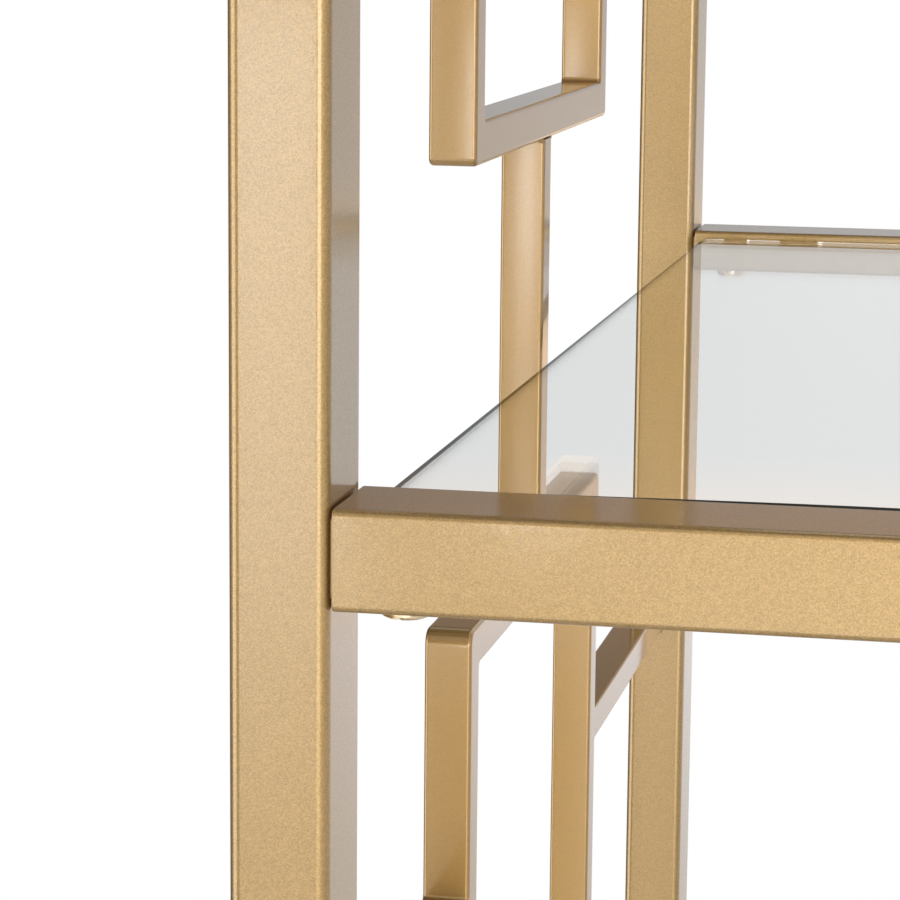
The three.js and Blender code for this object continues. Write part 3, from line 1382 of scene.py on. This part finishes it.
@dataclass
class Screws:
    """The pan-head screws under the rail ends, each turned a step on from the one a shelf below."""

    finishes: Finishes
    copies: CopiesTree
    shank: float = 0.004
    head_height: float = 0.0026
    recess_width: float = 0.0011
    recess_depth: float = 0.0013
    recess_corner: float = 0.0003
    recess_edge: float = 0.0002
    cross_share: float = 0.56
    rim_share: float = 0.6
    crown_share: float = 0.12
    shown_level: int = 3
    shown_turn: float = math.radians(-12.5)
    turn_step: float = math.radians(47)
    sides: int = 48
    dome_steps: int = 8
    recess_steps: int = 3

    def build(self) -> None:
        """Makes and dresses every screw."""
        nodes = [
            f"rail_screw_{face}_{side}_{level}" for face in FACES for side in SIDES for level in LEVELS
        ]
        first = Extent.of(nodes[0])
        shown = LEVELS.index(self.shown_level)
        places = []
        for index, node in enumerate(nodes):
            extent = Extent.of(node)
            turn = self.shown_turn + self.turn_step * (index % len(LEVELS) - shown)
            place = Vector((*extent.centre.xy, extent.low.z + self.head_height))
            places.append((place, Euler((0, 0, turn))))
        piece = self.copies.set_out("rail_screws", self.screw(first), places, self.finishes.screw)
        dress(piece, [self.finishes.screw], nodes=nodes)

    def screw(self, extent: Extent) -> bpy.types.Object:
        """Makes one screw with its head below Z = 0.

        Args:
            extent: the box of a screw's CAD node.

        Returns:
            The screw.
        """
        radius = extent.size.x / 2
        shank_length = extent.size.z - self.head_height
        rim = self.head_height * self.rim_share
        dome = []
        for step in range(self.dome_steps + 1):
            angle = math.pi / 2 * step / self.dome_steps
            dome.append((radius * math.sin(angle), -rim - (self.head_height - rim) * math.cos(angle)))
        flat = dome[0][1] + self.head_height * self.crown_share
        head = [(0, dome[0][1])] + dome[1:] + [(radius, 0)]
        shank = [(self.shank / 2, 0), (self.shank / 2, shank_length), (0, shank_length)]
        draft = Draft()
        draft.lathe(head + shank, self.sides)
        screw = draft.build("screw")
        slot = self.recess_arm(2 * extent.size.x, flat, math.pi / 2)
        cross = self.recess_arm(extent.size.x * self.cross_share, flat, 0)
        for arm in (slot, cross):
            Bench.combine(screw, arm, Operation.CUT)
        return screw

    def recess_arm(self, length: float, height: float, turn: float) -> bpy.types.Object:
        """Makes a cutter for one arm of the combined slot and cross recess.

        Args:
            length: how long the arm is.
            height: the height of the head's crown.
            turn: how far the arm is turned about Z.

        Returns:
            The cutter.
        """
        outline = Outline.rectangle(length, self.recess_width, self.recess_corner, self.recess_steps)
        place = Matrix.Rotation(turn, 4, "Z") @ Matrix.Translation(Vector((0, 0, height)))
        stations = block_stations(2 * self.recess_depth, self.recess_edge, self.recess_steps)
        draft = Draft()
        draft.block([outline], stations, place)
        return draft.build("recess")


@dataclass
class Feet:
    """The push-in feet under the posts."""

    stock: TubeStock
    finishes: Finishes
    copies: CopiesTree
    height: float = 0.006
    step: float = 0.001
    round: float = 0.0006
    sole_share: float = 0.2
    stem_play: float = 0.00035
    steps: int = 4

    def build(self) -> None:
        """Makes and dresses the four feet."""
        nodes = [f"foot_{face}_{side}" for face in FACES for side in SIDES]
        extents = [Extent.of(node) for node in nodes]
        places = [(Vector((*extent.centre.xy, extent.low.z)), Euler()) for extent in extents]
        piece = self.copies.set_out("feet", self.foot(extents[0]), places, self.finishes.foot)
        dress(piece, [self.finishes.foot], nodes=nodes)

    def foot(self, extent: Extent) -> bpy.types.Object:
        """Makes one foot, standing on Z = 0.

        Args:
            extent: the box of a foot's CAD node.

        Returns:
            The foot.
        """
        tube = Extent.of(TUBE_NODE).size
        flange = Outline.rectangle(extent.size.x, extent.size.y, self.stock.corner, self.steps)
        stem_spare = 2 * (self.stock.wall + self.stem_play)
        stem = Outline.rectangle(tube.x - stem_spare, tube.z - stem_spare, self.round, self.steps)
        draft = Draft()
        sole = [(self.step, 0)]
        for inset, rise in quarter(self.steps):
            height_share = self.sole_share + rise * (1 - self.sole_share)
            sole.append((self.step * inset, self.step * height_share))
        edge = [
            (self.round * (1 - inset), self.height - self.round * rise)
            for inset, rise in reversed(quarter(self.steps))
        ]
        rings = draft.walls(flange, sole + edge, Matrix.Identity(4))
        draft.cap([rings[0]])
        draft.cap([rings[-1]])
        foot = draft.build("foot")
        plug = Draft()
        reach = extent.size.z - self.step
        place = Matrix.Translation(Vector((0, 0, self.step + reach / 2)))
        plug.block([stem], block_stations(reach, self.round, self.steps), place)
        Bench.combine(foot, plug.build("stem"), Operation.JOIN)
        return foot


@dataclass
class Dots:
    """The clear soft dots between the tabs and the glass."""

    rails: ShelfRails
    finishes: Finishes
    copies: CopiesTree
    diameter: float = 0.008
    height: float = 0.0012
    glass_gap: float = 0.001
    steps: int = 6
    sides: int = 32

    def build(self) -> None:
        """Makes and dresses the dots of every rail."""
        places = []
        for face, sign in FACES.items():
            for level in LEVELS:
                node = f"shelf_rail_{face}_{level}"
                reach = Extent.of(node).size.y - self.rails.tube_depth()
                offset = Vector((0, -sign * (reach + self.glass_gap) / 2, 0))
                places += [(root + offset, Euler()) for root in self.rails.tab_places(node, sign)]
        piece = self.copies.set_out("glass_dots", self.dot(), places, self.finishes.dot)
        dress(piece, [self.finishes.dot])

    def dot(self) -> bpy.types.Object:
        """Makes one dot, standing on Z = 0.

        Returns:
            The dot.
        """
        radius = self.diameter / 2
        profile = [(0, 0), (radius, 0)]
        for inset, rise in quarter(self.steps)[1:]:
            profile.append((radius - self.height * rise, self.height * (1 - inset)))
        profile.append((0, self.height))
        draft = Draft()
        draft.lathe(profile, self.sides)
        return draft.build("dot")


@dataclass
class Panes:
    """The four glass panes, with ground edges."""

    finishes: Finishes
    corner: float = 0.006
    arris: float = 0.00062
    arris_steps: int = 1
    corner_steps: int = 16

    def build(self) -> None:
        """Makes and dresses every pane."""
        materials = [self.finishes.glass, self.finishes.glass_edge]
        edge = materials.index(self.finishes.glass_edge)
        for level in LEVELS:
            node = f"glass_shelf_{level}"
            extent = Extent.of(node)
            outline = Outline.rectangle(extent.size.x, extent.size.y, self.corner, self.corner_steps)
            draft = Draft()
            stations = block_stations(extent.size.z, self.arris, self.arris_steps)
            draft.block([outline], stations, Matrix.Translation(extent.centre), wall_finish=edge)
            pane = draft.build(f"clear_{node}")
            Bench.smooth(pane)
            dress(pane, materials, body=f"pane_{level}", nodes=[node])


@dataclass
class GapShadeStrips:
    """The thin dark strip between each front rail and its pane, which paints the shade in the gap there. It
    rises a little from the rail's ends.
    """

    rails: ShelfRails
    finishes: Finishes
    depth: float = 0.0022
    sink: float = 0.00040
    rise: float = 0.00046
    side_gap: float = 0.00002
    end_inset: float = 0.0075
    ramp_end: float = 0.075
    steps: int = 40
    round: float = 0.00025
    round_steps: int = 2

    def build(self) -> None:
        """Makes and dresses a strip for every shelf."""
        for level in LEVELS:
            rail = Extent.of(f"shelf_rail_front_{level}")
            pane = Extent.of(f"glass_shelf_{level}")
            # Each strip is a dark sheet that paints the shade in the gap between rail and glass.
            gap_shade = self.strip(f"glass_seal_{level}", rail, pane)
            Bench.smooth(gap_shade)
            dress(gap_shade, [self.finishes.gap_shade])

    def strip(self, name: str, rail: Extent, pane: Extent) -> bpy.types.Object:
        """Makes one strip, which stays below the top of the CAD model.

        Args:
            name: the strip's name.
            rail: the box of the rail's CAD node.
            pane: the box of the pane's CAD node.

        Returns:
            The strip.
        """
        inner_y = rail.low.y + self.rails.tube_depth()
        width = pane.low.y - inner_y - 2 * self.side_gap
        middle_y = (pane.low.y + inner_y) / 2
        half = rail.size.x / 2 - self.end_inset
        bottom = rail.high.z - self.depth
        draft = Draft()
        rings = []
        for step in range(-self.steps, self.steps + 1):
            inset = half * (1 - self.spread(abs(step) / self.steps))
            x = math.copysign(half - inset, step)
            top = min(rail.high.z - self.sink + self.rise * self.lift(inset), CAD_BOX[1].z)
            outline = Outline.rectangle(width, top - bottom, self.round, self.round_steps)
            place = Matrix.Translation(Vector((x, middle_y, (top + bottom) / 2))) @ Axis.X.value
            rings.append(draft.ring(outline, 0, 0, place))
        for lower, upper in zip(rings, rings[1:]):
            draft.bridge(lower, upper)
        draft.cap([rings[0]])
        draft.cap([rings[-1]])
        return draft.build(name)

    @staticmethod
    def spread(share: float) -> float:
        """Sets the strip's sections closer together toward its ends."""
        return 1 - (1 - share) ** 2

    def lift(self, inset: float) -> float:
        """How much of the full rise a point at some distance from the strip's end has."""
        share = min(inset / (self.ramp_end - self.end_inset), 1)
        return share * share * (3 - 2 * share)


@dataclass
class Studio:
    """The floor, the lights, the backdrop and the camera."""

    camera_place: Vector = field(default_factory=lambda: Vector((-0.26030, -0.63167, 1.16429)))
    yaw: float = math.radians(-11.686)
    pitch: float = math.radians(9.880)
    roll: float = math.radians(0.517)
    lens: float = 125.08
    sensor: float = 36.0
    clip_start: float = 0.01
    floor_radius: float = 2.9
    floor_fade: float = 1.2
    floor_sides: int = 64
    floor_tone: float = 0.86
    floor_roughness: float = 0.6
    floor_glow: float = 0.30
    wall_blend: float = 0.3
    shade_from: float = -0.55
    shade_to: float = 0.0
    shade_level: float = 0.1

    def build(self) -> None:
        """Sets up the whole studio."""
        self.build_camera()
        self.build_world()
        self.build_floor()
        for lamp in REAR_LAMPS:
            lamp.build()
        bpy.context.scene.view_settings.view_transform = "Standard"

    def build_camera(self) -> None:
        """Makes the camera."""
        ahead = Vector(
            (
                math.sin(self.yaw) * math.cos(self.pitch),
                math.cos(self.yaw) * math.cos(self.pitch),
                -math.sin(self.pitch),
            )
        )
        level = Vector((math.cos(self.yaw), -math.sin(self.yaw), 0))
        upright = level.cross(ahead)
        right = math.cos(self.roll) * level + math.sin(self.roll) * upright
        up = math.cos(self.roll) * upright - math.sin(self.roll) * level
        data = bpy.data.cameras.new("camera")
        data.lens = self.lens
        data.sensor_width = self.sensor
        data.clip_start = self.clip_start
        camera = bpy.data.objects.new("camera", data)
        turn = Matrix((right, up, -ahead)).transposed().to_4x4()
        camera.matrix_world = Matrix.Translation(self.camera_place) @ turn
        bpy.context.scene.collection.objects.link(camera)
        bpy.context.scene.camera = camera

    def build_world(self) -> None:
        """Makes the white backdrop, and the room that the paint and the glass mirror."""
        world = bpy.data.worlds.new("studio")
        world.use_nodes = True
        world.node_tree.nodes.clear()
        tree = Tree(world.node_tree)
        way = tree.add("ShaderNodeTexCoord").outputs["Generated"]
        parts = tree.add("ShaderNodeSeparateXYZ", {"Vector": way})
        share = tree.add(
            "ShaderNodeMath", {0: parts.outputs["Z"], 1: 0.5, 2: 0.5}, {"operation": "MULTIPLY_ADD"}
        )
        total = self.walls(tree, parts, share.outputs[0])
        ahead = tree.add("ShaderNodeMath", {0: parts.outputs["Y"], 1: -1.0}, {"operation": "MULTIPLY"})
        azimuth = tree.add(
            "ShaderNodeMath", {0: parts.outputs["X"], 1: ahead.outputs[0]}, {"operation": "ARCTAN2"}
        )
        for softbox in SOFTBOXES:
            total = softbox.add_to(tree, total, azimuth.outputs[0], share.outputs[0])
        seen = self.backdrop(tree, total)
        glow = tree.add("ShaderNodeBackground", {"Color": seen, "Strength": 1.0})
        tree.add("ShaderNodeOutputWorld", {"Surface": glow.outputs["Background"]})
        bpy.context.scene.world = world

    def walls(
        self, tree: Tree, parts: bpy.types.Node, share: bpy.types.NodeSocket
    ) -> bpy.types.NodeSocket:
        """Adds the room's rear and front wall, with its left end in shade.

        Args:
            tree: the world's tree.
            parts: the node that gives the direction's three parts.
            share: the output that gives the place on a ramp for the direction's height.

        Returns:
            The walls' light.
        """
        rear, front = (
            tree.ramp(share, [(ramp_place(angle), colour) for angle, colour in wall])
            for wall in (REAR_ROOM, FRONT_ROOM)
        )
        turn = tree.add(
            "ShaderNodeMapRange",
            {"Value": parts.outputs["Y"], "From Min": -self.wall_blend, "From Max": self.wall_blend},
            {"interpolation_type": "SMOOTHSTEP"},
        )
        room = tree.add(
            "ShaderNodeMix",
            {0: turn.outputs["Result"], 6: front.outputs["Color"], 7: rear.outputs["Color"]},
            {"data_type": "RGBA"},
        )
        shade = tree.add(
            "ShaderNodeMapRange",
            {
                "Value": parts.outputs["X"],
                "From Min": self.shade_from,
                "From Max": self.shade_to,
                "To Min": self.shade_level,
                "To Max": 1.0,
            },
            {"interpolation_type": "SMOOTHSTEP"},
        )
        return tree.scaled(room.outputs[2], shade.outputs["Result"])

    @staticmethod
    def backdrop(tree: Tree, room: bpy.types.NodeSocket) -> bpy.types.NodeSocket:
        """Adds plain white where the camera sees past the etagere, also through its glass.

        Args:
            tree: the world's tree.
            room: the output that gives the room's light, which every other ray meets.

        Returns:
            What each ray meets.
        """
        path = tree.add("ShaderNodeLightPath")
        direct = tree.add(
            "ShaderNodeMath",
            {0: path.outputs["Is Camera Ray"], 1: path.outputs["Is Transmission Ray"]},
            {"operation": "MAXIMUM"},
        )
        seen = tree.add(
            "ShaderNodeMix", {0: direct.outputs[0], 6: room, 7: grey(1.0)}, {"data_type": "RGBA"}
        )
        return seen.outputs[2]

    def build_floor(self) -> None:
        """Makes a pale floor that fades into the backdrop."""
        draft = Draft()
        ring = draft.ring(Outline.circle(self.floor_radius, self.floor_sides), 0, 0, Matrix.Identity(4))
        draft.cap([ring])
        floor = draft.build("floor")
        material, tree, shader, place = shader_tree("pale floor")
        distance = tree.add("ShaderNodeVectorMath", {0: place}, {"operation": "LENGTH"})
        fade = tree.add(
            "ShaderNodeMapRange",
            {
                "Value": distance.outputs["Value"],
                "From Min": self.floor_fade,
                "From Max": self.floor_radius,
                "To Min": 1.0,
                "To Max": 0.0,
            },
            {"interpolation_type": "SMOOTHSTEP"},
        )
        tree.feed(shader.inputs["Base Color"], grey(self.floor_tone))
        tree.feed(shader.inputs["Roughness"], self.floor_roughness)
        tree.feed(shader.inputs["Emission Color"], grey(self.floor_glow))
        tree.feed(shader.inputs["Emission Strength"], 1.0)
        tree.feed(shader.inputs["Alpha"], fade.outputs["Result"])
        floor.data.materials.append(material)


@dataclass(frozen=True)
class Lamp:
    """A large soft light with its face toward the etagere."""

    name: str
    azimuth: float
    elevation: float
    distance: float
    width: float
    height: float
    radiance: float
    aim: tuple[float, float, float] = (0.0, 0.0, 0.8)

    def build(self) -> None:
        """Makes the light."""
        data = bpy.data.lights.new(self.name, "AREA")
        data.shape = "RECTANGLE"
        data.size = self.width
        data.size_y = self.height
        data.energy = self.radiance * math.pi * self.width * self.height
        azimuth, elevation = math.radians(self.azimuth), math.radians(self.elevation)
        away = Vector(
            (
                math.sin(azimuth) * math.cos(elevation),
                -math.cos(azimuth) * math.cos(elevation),
                math.sin(elevation),
            )
        )
        light = bpy.data.objects.new(self.name, data)
        light.matrix_world = (
            Matrix.Translation(Vector(self.aim) + away * self.distance)
            @ away.to_track_quat("Z", "Y").to_matrix().to_4x4()
        )
        light.visible_camera = False
        bpy.context.scene.collection.objects.link(light)


@dataclass(frozen=True)
class Softbox:
    """A bright upright panel of the room: its side edges, and how bright it is at each height."""

    left: float
    right: float
    edge_softness: float
    radiance: float
    levels: tuple[tuple[float, float], ...]

    def add_to(
        self,
        tree: Tree,
        total: bpy.types.NodeSocket,
        azimuth: bpy.types.NodeSocket,
        share: bpy.types.NodeSocket,
    ) -> bpy.types.NodeSocket:
        """Adds the panel's light to the room's.

        Args:
            tree: the world's tree.
            total: the light so far.
            azimuth: the output that gives the angle from the front toward +X.
            share: the output that gives the place on a ramp for the direction's height.

        Returns:
            The new total.
        """
        shape = tree.ramp(share, [(ramp_place(angle), grey(level)) for angle, level in self.levels])
        light = shape.outputs["Color"]
        for edge, toward in ((self.left, 1), (self.right, -1)):
            start = math.radians(edge - toward * self.edge_softness)
            end = math.radians(edge + toward * self.edge_softness)
            inside = tree.add(
                "ShaderNodeMapRange",
                {"Value": azimuth, "From Min": start, "From Max": end},
                {"interpolation_type": "SMOOTHSTEP"},
            )
            light = tree.scaled(light, inside.outputs["Result"])
        bright = tree.scaled(light, self.radiance)
        joined = tree.add("ShaderNodeVectorMath", {0: total, 1: bright}, {"operation": "ADD"})
        return joined.outputs[0]


def ramp_place(elevation: float) -> float:
    """The place on a ramp for an elevation in degrees."""
    return (math.sin(math.radians(elevation)) + 1) / 2


# What mirror rays meet: the room's rear and front wall by elevation in degrees, and the panels by azimuth.
REAR_ROOM = (
    (-90.0, (0.45, 0.45, 0.45, 1)),
    (-24.0, (0.64, 0.63, 0.62, 1)),
    (-17.5, (0.74, 0.74, 0.73, 1)),
    (-13.5, (0.95, 0.97, 1.02, 1)),
    (-10.5, (1.42, 1.17, 0.96, 1)),
    (-7.5, (1.22, 0.95, 0.72, 1)),
    (-6.0, (0.97, 0.78, 0.57, 1)),
    (-5.0, (0.74, 0.71, 0.69, 1)),
    (0.0, (0.60, 0.61, 0.61, 1)),
    (3.0, (0.66, 0.66, 0.66, 1)),
    (6.5, (0.65, 0.66, 0.67, 1)),
    (10.0, (0.43, 0.44, 0.45, 1)),
    (11.5, (0.74, 0.46, 0.28, 1)),
    (13.5, (0.36, 0.28, 0.22, 1)),
    (18.0, (0.08, 0.065, 0.05, 1)),
    (30.0, (0.02, 0.02, 0.02, 1)),
    (90.0, (0.04, 0.04, 0.04, 1)),
)
FRONT_ROOM = (
    (-90.0, (0.80, 0.80, 0.80, 1)),
    (-50.0, (3.0, 3.0, 3.0, 1)),
    (-24.0, (3.0, 3.0, 3.0, 1)),
    (-19.0, (0.55, 0.55, 0.55, 1)),
    (-1.0, (0.55, 0.55, 0.55, 1)),
    (0.5, (2.7, 2.7, 2.7, 1)),
    (4.5, (2.7, 2.7, 2.7, 1)),
    (7.0, (0.12, 0.12, 0.12, 1)),
    (24.0, (0.30, 0.30, 0.30, 1)),
    (36.0, (1.0, 0.92, 0.86, 1)),
    (50.0, (1.0, 0.92, 0.86, 1)),
    (62.0, (0.12, 0.12, 0.12, 1)),
    (90.0, (0.05, 0.05, 0.05, 1)),
)
SOFTBOXES = (
    Softbox(
        left=-82,
        right=-44,
        edge_softness=4.0,
        radiance=2.8,
        levels=((-26.0, 0.0), (-20.0, 1.0), (12.0, 1.0), (20.0, 0.3), (40.0, 0.1)),
    ),
    Softbox(
        left=-17,
        right=-13.5,
        edge_softness=0.6,
        radiance=5.4,
        levels=((-24.0, 0.05), (-17.0, 0.22), (-13.0, 0.45), (-9.5, 0.64), (-2.0, 0.95), (0.0, 0.0)),
    ),
    Softbox(
        left=-13.5,
        right=-8.8,
        edge_softness=0.5,
        radiance=1.2,
        levels=((-14.2, 0.0), (-12.6, 1.0), (-9.0, 0.4), (-4.0, 0.0)),
    ),
    Softbox(
        left=-8.8,
        right=0,
        edge_softness=0.5,
        radiance=1.2,
        levels=((-24.0, 0.1), (-16.0, 0.6), (-12.0, 1.0), (-9.0, 0.4), (-4.0, 0.1), (0.0, 0.5), (2.0, 0.0)),
    ),
    Softbox(
        left=-10.6,
        right=-9.5,
        edge_softness=0.3,
        radiance=9.5,
        levels=(
            (-11.2, 0.0),
            (-10.6, 0.9),
            (-9.0, 0.40),
            (-8.0, 0.30),
            (-7.0, 0.55),
            (-6.0, 1.0),
            (-3.0, 1.0),
            (-1.5, 0.0),
        ),
    ),
    Softbox(
        left=0.5,
        right=30,
        edge_softness=1.5,
        radiance=4.2,
        levels=((-20.0, 0.0), (-12.0, 0.5), (-4.0, 0.9), (14.0, 1.0), (24.0, 0.5), (40.0, 0.0)),
    ),
)
REAR_LAMPS = tuple(
    Lamp(
        f"{side} back",
        azimuth=sign * 150,
        elevation=48,
        distance=3.2,
        width=1.6,
        height=1.4,
        radiance=0.6,
    )
    for side, sign in SIDES.items()
)


def main() -> None:
    """Builds the studio and every sub-assembly."""
    logging.basicConfig(level=logging.INFO, format="%(message)s")
    Studio().build()
    post_stock = TubeStock(corner=0.0019)
    rail_stock = TubeStock(corner=0.0011)
    finishes = Finishes()
    copies = CopiesTree()
    rails = ShelfRails(rail_stock, finishes)
    assemblies = (
        Posts(post_stock, finishes),
        rails,
        EndRails(rail_stock, finishes),
        Fretwork(finishes),
        WeldBeads(finishes, copies),
        Screws(finishes, copies),
        Feet(post_stock, finishes, copies),
        Dots(rails, finishes, copies),
        Panes(finishes),
        GapShadeStrips(rails, finishes),
    )
    for assembly in assemblies:
        assembly.build()


if __name__ == "__main__":
    main()
